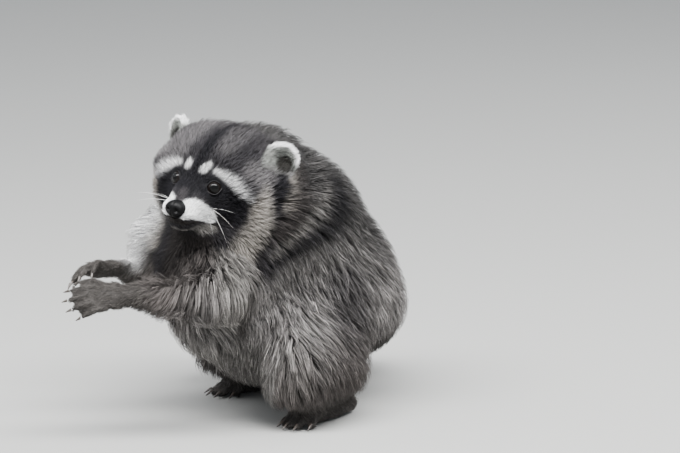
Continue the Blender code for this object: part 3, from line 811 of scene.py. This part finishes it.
def tuft_colours(roots, proxy, stations, seen):
    """Dark underfur at the root, then the markings where the tuft passes, with mixed tips."""
    _, faces, shares = proxy.nearest(roots["place"])
    away = proxy.read(proxy.away, faces, shares)
    marks = [markings(place, roots["normal"], roots["group"], away + along) for place, along in seen]
    count = len(away)
    deep = smoothstep(4 * MM, 14 * MM, roots["depth"])[:, None]
    lock_shade = np.exp(DRAWS.normal(0, 0.24, roots["locks"]))[roots["lock"]][:, None]
    own_shade = np.exp(DRAWS.normal(0, 0.25, count))[:, None]
    shade = (lock_shade * own_shade) ** (0.6 + 0.4 * deep)
    kind = DRAWS.random(count)[:, None]
    light, dark = kind < 0.26, kind > 0.66
    root = 1 - 0.65 * deep
    half = 1 + np.where(light, 0.55, -0.05) * deep
    tip = 1 + np.where(light, 0.6, np.where(dark, -0.6, 0.0)) * deep
    levels = []
    for t, mark in zip((*stations, 1.0), marks):
        gain = root + (half - root) * t * 2 if t < 0.5 else half + (tip - half) * (t - 0.5) * 2
        level = (OWN_MARK * marks[1] + (1 - OWN_MARK) * mark) * shade * gain
        levels += [level] * (3 if t < 1 else 1)
    return np.clip(np.stack(levels, 1), 0.002, 0.9), faces, shares


def tuft_uv(proxy, faces, shares, stations, pattern):
    """Each tuft is a small patch at its root's place on the skin's unwrap."""
    root = np.einsum("nk,nkc->nc", shares, proxy.uv[faces])
    root = np.clip(root, PATCH, 1 - PATCH)
    spots = [((k - 1) * PATCH / 3, (t - 0.5) * PATCH) for t in stations for k in range(3)]
    spots.append((0.0, PATCH / 2))
    return (root[:, None] + np.array(spots)[None])[:, pattern]


def coat_pieces(roots, proxy, shape, material):
    """The tufts as one piece for each region, or more where a piece would be too large."""
    stations = shape["stations"]
    points, seen = tufts(roots, proxy, shape)
    colours, faces, shares = tuft_colours(roots, proxy, stations, seen)
    pattern = tuft_triangles(len(stations))
    uv = tuft_uv(proxy, faces, shares, stations, pattern)
    each = points.shape[1]
    made = []
    for group, name in enumerate(REGION_NAMES):
        mine = np.flatnonzero(roots["group"] == group)
        most = PIECE_LIMIT // len(pattern)
        for part in range(0, len(mine), most):
            some = mine[part : part + most]
            triangles = pattern[None] + (np.arange(len(some)) * each)[:, None, None]
            title = f"{name}_{shape['kind']}_{part // most + 1}"
            mesh = mesh_from(title, points[some].reshape(-1, 3), triangles.reshape(-1, 3),
                             colours[some].reshape(-1, 3), uv[some].reshape(-1, 2))
            made.append(new_object(title, mesh, material))
    return made


# ---- materials ----


def filled(node, values):
    """The node with its named inputs set."""
    for key, value in values.items():
        node.inputs[key.replace("_", " ")].default_value = value
    return node


def principled(name, **values):
    made = bpy.data.materials.new(name)
    made.use_nodes = True
    return made, made.node_tree, filled(made.node_tree.nodes["Principled BSDF"], values)


def add_node(tree, kind, **values):
    return filled(tree.nodes.new(f"ShaderNode{kind}"), values)


def link(tree, start, output, end, socket):
    tree.links.new(start.outputs[output], end.inputs[socket])


def noise_bump(tree, shader, scale, strength, distance):
    coords = add_node(tree, "TexCoord")
    noise = add_node(tree, "TexNoise", Scale=scale, Detail=6)
    bump = add_node(tree, "Bump", Strength=strength, Distance=distance)
    link(tree, coords, "Object", noise, "Vector")
    link(tree, noise, "Fac", bump, "Height")
    link(tree, bump, "Normal", shader, "Normal")
    return noise


def coat_material(name, roughness, gain):
    """Takes the markings from the mesh, broken up a little by fine noise."""
    made, tree, shader = principled(name, Roughness=roughness, Specular_IOR_Level=0.15)
    colour = add_node(tree, "Attribute")
    colour.attribute_name = "Coat"
    noise = noise_bump(tree, shader, 900, 0.25, 0.0004)
    ramp = add_node(tree, "MapRange", To_Min=gain * 0.8, To_Max=gain * 1.2)
    scale = add_node(tree, "VectorMath")
    scale.operation = "SCALE"
    link(tree, noise, "Fac", ramp, "Value")
    link(tree, colour, "Color", scale, 0)
    link(tree, ramp, "Result", scale, "Scale")
    link(tree, scale, "Vector", shader, "Base Color")
    return made


def nose_material():
    made, tree, shader = principled("nose_skin", Base_Color=(0.0025, 0.0024, 0.0026, 1), Roughness=0.38,
                                    Specular_IOR_Level=0.08)
    noise_bump(tree, shader, 700, 0.5, 0.0006)
    return made


def eye_material():
    """Dark brown iris round a black pupil, by how far forward a spot is on the eyeball."""
    made, tree, shader = principled("eye_wet", Roughness=0.03, Specular_IOR_Level=0.13)
    coords = add_node(tree, "TexCoord")
    split = add_node(tree, "SeparateXYZ")
    ramp = add_node(tree, "ValToRGB")
    stops = ((0.0, (0.004, 0.004, 0.004, 1)), (0.55, (0.005, 0.0045, 0.004, 1)),
             (0.84, (0.006, 0.0045, 0.004, 1)), (0.93, (0.002, 0.002, 0.002, 1)))
    while len(ramp.color_ramp.elements) < len(stops):
        ramp.color_ramp.elements.new(0.5)
    for element, (place, shade) in zip(ramp.color_ramp.elements, stops):
        element.position = place
        element.color = shade
    link(tree, coords, "Generated", split, "Vector")
    link(tree, split, "Z", ramp, "Fac")
    link(tree, ramp, "Color", shader, "Base Color")
    return made


def horn_material():
    made, tree, shader = principled("claw_horn", Base_Color=(0.045, 0.036, 0.03, 1), Roughness=0.35)
    noise_bump(tree, shader, 300, 0.15, 0.0003)
    return made


# ---- eyes, lids, nose, whiskers and claws ----


def make_eyes(material):
    """Smooth eyeballs whose local z looks out of the opening."""
    for side in SIDES:
        centre, axes = eye_frame(side)
        bm = bmesh.new()
        bmesh.ops.create_uvsphere(bm, u_segments=48, v_segments=32, radius=EYE_RADIUS)
        for vert in bm.verts:
            bulge = smoothstep(0.72, 1.0, vert.co.z / EYE_RADIUS)
            vert.co *= 1 + 0.035 * float(bulge)
        mesh = mesh_of(bm, f"eyeball_{side}")
        mesh.shade_smooth()
        obj = new_object(f"eyeball_{side}", mesh, material)
        turn = Matrix((axes[0], np.cross(axes[2], axes[0]), axes[2])).transposed().to_4x4()
        turn.translation = centre
        obj.matrix_world = turn
        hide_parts(f"eye_{side}")
        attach(obj, "root")


LID_STEPS = 56
LID_PROFILE = ((-0.6, 0.96), (0.6, 0.985), (1.15, 1.05), (1.0, 1.15), (0.6, 1.3), (0.0, 1.5),
               (-1.4, 1.45), (-1.4, 1.1))  # millimetres over the eyeball, and shares of the opening
LID_RIM = 2  # the row of the profile that is the rim


def lid_ring(side):
    """A closed ring of skin round an eye's opening, rolled out over the eyeball. It is black, with a painted
    grey reflection along the lower lid's wet rim and a painted glint at the inner corner."""
    centre, axes = eye_frame(side)
    points, triangles, shades = [], [], []
    rows = len(LID_PROFILE)
    for step in range(LID_STEPS):
        angle = 2 * math.pi * step / LID_STEPS
        low = 0.5 * smoothstep(0.1, -0.5, math.sin(angle))
        # painted reflection along the lower lid and painted glint at the inner corner
        painted_glint = min(low + smoothstep(-0.8, -0.97, math.cos(angle)), 1.0)
        for k, (over, share) in enumerate(LID_PROFILE):
            pinch = 1 + 0.16 * max(0.0, math.cos(angle)) ** 6 + 0.2 * max(0.0, -math.cos(angle)) ** 6
            across = EYE_OPEN[0] * share * math.cos(angle) * pinch
            rise = EYE_OPEN[1] * share * math.sin(angle) * (1 - 0.12 * math.cos(2 * angle))
            reach = EYE_RADIUS + over * MM
            flat = min(math.hypot(across, rise), reach * 0.995)
            scale = flat / max(math.hypot(across, rise), 1e-9)
            out = math.sqrt(reach**2 - flat**2)
            points.append(centre + np.array([across * scale, rise * scale, out]) @ axes)
            shades.append(np.array(SMOKE if k == LID_RIM else BLACK) * painted_glint + np.array(BLACK) * (1 - painted_glint))
            a, b = step * rows + k, step * rows + (k + 1) % rows
            c, d = ((step + 1) % LID_STEPS) * rows + (k + 1) % rows, ((step + 1) % LID_STEPS) * rows + k
            triangles += [(a, b, c), (a, c, d)]
    return np.array(points), np.array(triangles), np.array(shades)


def outward(points, triangles):
    """The triangles turned so that they face out of a closed mesh."""
    a, b, c = corners(points, triangles)
    return triangles if (a * np.cross(b, c)).sum() > 0 else triangles[:, ::-1]


NOSE_HALF = (1.18, 0.98, 0.96)
NOSTRILS = (((0.45, -0.74, 0.0), 0.24, 0.4), ((0.82, -0.46, -0.12), 0.18, 0.22))  # place, size and depth


def make_nose(material):
    """The nose pad, with nostrils, their side slits and the groove between them."""
    low, high = (np.array(corner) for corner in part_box("nose"))
    centre = (low + high) / 2
    half = np.array(NOSE_HALF)
    bm = bmesh.new()
    bmesh.ops.create_uvsphere(bm, u_segments=64, v_segments=48, radius=1)
    for vert in bm.verts:
        x, y, z = vert.co
        place = np.array([x * half[0], y * half[1] * (0.86 if y < 0 else 1.0), z * half[2]])
        place[0] *= 1 - 0.34 * max(0.0, -z)
        place[2] -= 0.10 * place[0] ** 2
        push = 0.0
        for spot, size, depth in NOSTRILS:
            gap = np.linalg.norm(np.abs(place * (1, 0, 0)) + place * (0, 1, 1) - spot)
            push += depth * math.exp(-((gap / size) ** 2))
        push += 0.10 * math.exp(-((place[0] / 0.09) ** 2)) * (place[1] < -0.3)
        place[1] += push
        vert.co = centre + place * CM @ HEAD_AXES
    mesh = mesh_of(bm, "nose_pad")
    mesh.shade_smooth()
    obj = new_object("nose_pad", mesh, material)
    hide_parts("nose")
    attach(obj, "root")


# Roots of the whiskers, and where their tips point, in the head's frame, in centimetres: five on the left
# and four on the right.
WHISKERS = (
    ((2.6, -0.3, -2.1), (2.4, 2.2, 0.0)), ((2.6, -0.35, -2.4), (1.6, 1.5, -3.6)),
    ((2.5, -0.45, -2.5), (1.3, 1.6, -2.6)), ((2.3, -0.6, -3.2), (0.6, 0.1, -0.9)),
    ((2.6, -0.4, -2.2), (1.9, 1.7, -1.4)),
    ((-2.4, -1.2, -2.3), (-3.6, -1.1, 0.3)), ((-2.4, -1.1, -2.1), (-3.6, -1.1, 1.0)),
    ((-2.5, -0.7, -2.3), (-2.8, 1.2, 0.6)), ((-2.5, -0.6, -2.5), (-2.2, 1.8, -0.6)),
)
WHISKER_RADIUS, WHISKER_STEPS, WHISKER_DROP = 0.2 * MM, 8, 0.9 * CM


def make_whiskers(material):
    """Long tapered hairs that bend down from each side of the muzzle."""
    points, triangles = [], []
    for root, reach in WHISKERS:
        start = from_head(root)
        way = np.array(reach) * CM @ HEAD_AXES
        side = unit(np.cross(way, (0, 0, 1)))
        above = unit(np.cross(side, way))
        base = len(points)
        for step in range(WHISKER_STEPS):
            t = step / WHISKER_STEPS
            spot = start + way * t - np.array([0, 0, WHISKER_DROP]) * t * t
            for angle in RING_ANGLES:
                swing = side * math.cos(angle) + above * math.sin(angle)
                points.append(spot + swing * WHISKER_RADIUS * (1 - t) ** 0.8)
        points.append(start + way - np.array([0, 0, WHISKER_DROP]))
        triangles += (tuft_triangles(WHISKER_STEPS) + base).tolist()
    points, triangles = np.array(points), np.array(triangles)
    obj = new_object("whiskers", mesh_from("whiskers", points, outward(points, triangles)), material)
    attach(obj, "root")


def make_claws(material):
    """Each claw again with round sides."""
    for name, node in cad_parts.items():
        if "_claw_" not in name:
            continue
        bm = bmesh.new()
        bm.from_mesh(node.data)
        bmesh.ops.remove_doubles(bm, verts=bm.verts, dist=0.01 * MM)
        obj = new_object(f"{name}_horn", mesh_of(bm, f"{name}_horn"))
        subdivide = obj.modifiers.new("Round", "SUBSURF")
        subdivide.levels = subdivide.render_levels = 2
        mesh = settled(obj)
        mesh.name = f"{name}_horn"
        mesh.shade_smooth()
        mesh.materials.clear()
        horn = new_object(f"{name}_horn", mesh, material)
        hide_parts(name)
        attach(horn, "root")


# ---- putting it together ----


def bare_spots(points):
    """Where no tuft grows: in the openings of the eyes, and under the nose pad."""
    bare = lengths((in_head(points) - NOSE_SPOT) / np.array(NOSE_HALF)) < 1.05
    for side in SIDES:
        _, away, ring, out = about_eye(points, side)
        bare |= (ring < 1.5) & (out >= 0) & (lengths(away) <= 2 * EYE_RADIUS)
    return bare


def make_animal():
    points, triangles, groups, depth = make_skin()
    normals = point_normals(points, triangles)
    proxy = make_proxy(points, triangles, groups)
    _, faces, shares = proxy.nearest(points)
    away = proxy.read(proxy.away, faces, shares)
    shades = markings(points + normals * depth[:, None], normals, groups, away)
    skin_points, skin_triangles, skin_shades = [points], [triangles], [shades]
    count = len(points)
    for side in SIDES:
        ring, ring_faces, ring_shades = lid_ring(side)
        skin_points.append(ring)
        skin_triangles.append(outward(ring - ring.mean(0), ring_faces) + count)
        skin_shades.append(ring_shades)
        count += len(ring)
    mesh = mesh_from("skin", np.concatenate(skin_points), np.concatenate(skin_triangles),
                     np.concatenate(skin_shades))
    skin = new_object("skin", mesh, coat_material("hide", 0.75, 0.5))
    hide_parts(*FLESH_NODES)
    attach(skin, "root")
    fur = coat_material("coat", 0.6, 1.0)
    bare = bare_spots(points)
    coat = depth * (1 - 0.6 * band(points / CM, SHOULDER_FOLD, 1.1, 0.8))
    few = 1.0
    for shape in (LONG, SHORT):
        deep = coat > LONG_FROM
        density = np.where(deep == (shape is LONG), 1.0, 0.0) * ~bare
        if shape is SHORT:
            density = density * (0.7 + 1.3 * (groups == HEAD) + 0.9 * (groups == EAR))
        wanted = int(shape["tufts"] * few)
        roots = scattered((points, triangles), normals, groups, coat, depth, wanted, density)
        for piece in coat_pieces(roots, proxy, shape, fur):
            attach(piece, "root")
            slot = "fur_pale" if "ears" in piece.name else "fur_dark" if "paws" in piece.name else "fur_grey"
    make_eyes(eye_material())
    make_nose(nose_material())
    whisker = principled("whisker", Base_Color=(0.75, 0.74, 0.72, 1), Roughness=0.4)[0]
    make_whiskers(whisker)
    make_claws(horn_material())


# ---- studio ----

AIM = (0.0344, 0.1293, 0.194)
CAMERA_AZIMUTH, CAMERA_HEIGHT_ANGLE, CAMERA_DISTANCE = 50.0, 12.0, 3.2
SENSOR_MM, LENS_MM = 36.0, 152.470588


def make_camera():
    data = bpy.data.cameras.new("camera")
    data.sensor_width = SENSOR_MM
    data.lens = LENS_MM
    azimuth, height = math.radians(CAMERA_AZIMUTH), math.radians(CAMERA_HEIGHT_ANGLE)
    level = math.cos(height)
    away = Vector((level * math.sin(azimuth), -level * math.cos(azimuth), math.sin(height)))
    camera = new_object("camera", data)
    camera.location = Vector(AIM) + away * CAMERA_DISTANCE
    camera.rotation_euler = away.to_track_quat("Z", "Y").to_euler()
    bpy.context.scene.camera = camera


# Name, place, width, depth and power of each light; all aim at the animal's middle.
LIGHTS = (
    ("sky", (0.85, -0.7, 2.1), 3.6, 0.6, 340),
    ("key", (-2.1, -3.2, 2.8), 3.6, 3.6, 100),
    ("back", (0.4, 2.4, 2.4), 1.8, 1.8, 75),
)


def make_studio():
    bm = bmesh.new()
    bmesh.ops.create_grid(bm, x_segments=1, y_segments=1, size=9)
    mesh = mesh_of(bm, "floor")
    material, _, _ = principled("floor_paint", Base_Color=(0.29, 0.29, 0.28, 1), Roughness=0.9)
    floor = new_object("floor", mesh, material)
    floor.location.z = CAD_BOX[0][2] - 0.0003
    middle_of_it = Vector((0, 0, 0.16))
    for name, place, width, depth, power in LIGHTS:
        data = bpy.data.lights.new(name, "AREA")
        data.shape = "RECTANGLE"
        data.size = width
        data.size_y = depth
        data.energy = power
        lamp = new_object(name, data)
        lamp.location = place
        lamp.rotation_euler = (Vector(place) - middle_of_it).to_track_quat("Z", "Y").to_euler()
    world = bpy.data.worlds.new("studio")
    world.use_nodes = True
    filled(world.node_tree.nodes["Background"], {"Color": (0.82, 0.86, 0.92, 1), "Strength": 1.1})
    bpy.context.scene.world = world


make_animal()
make_camera()
make_studio()
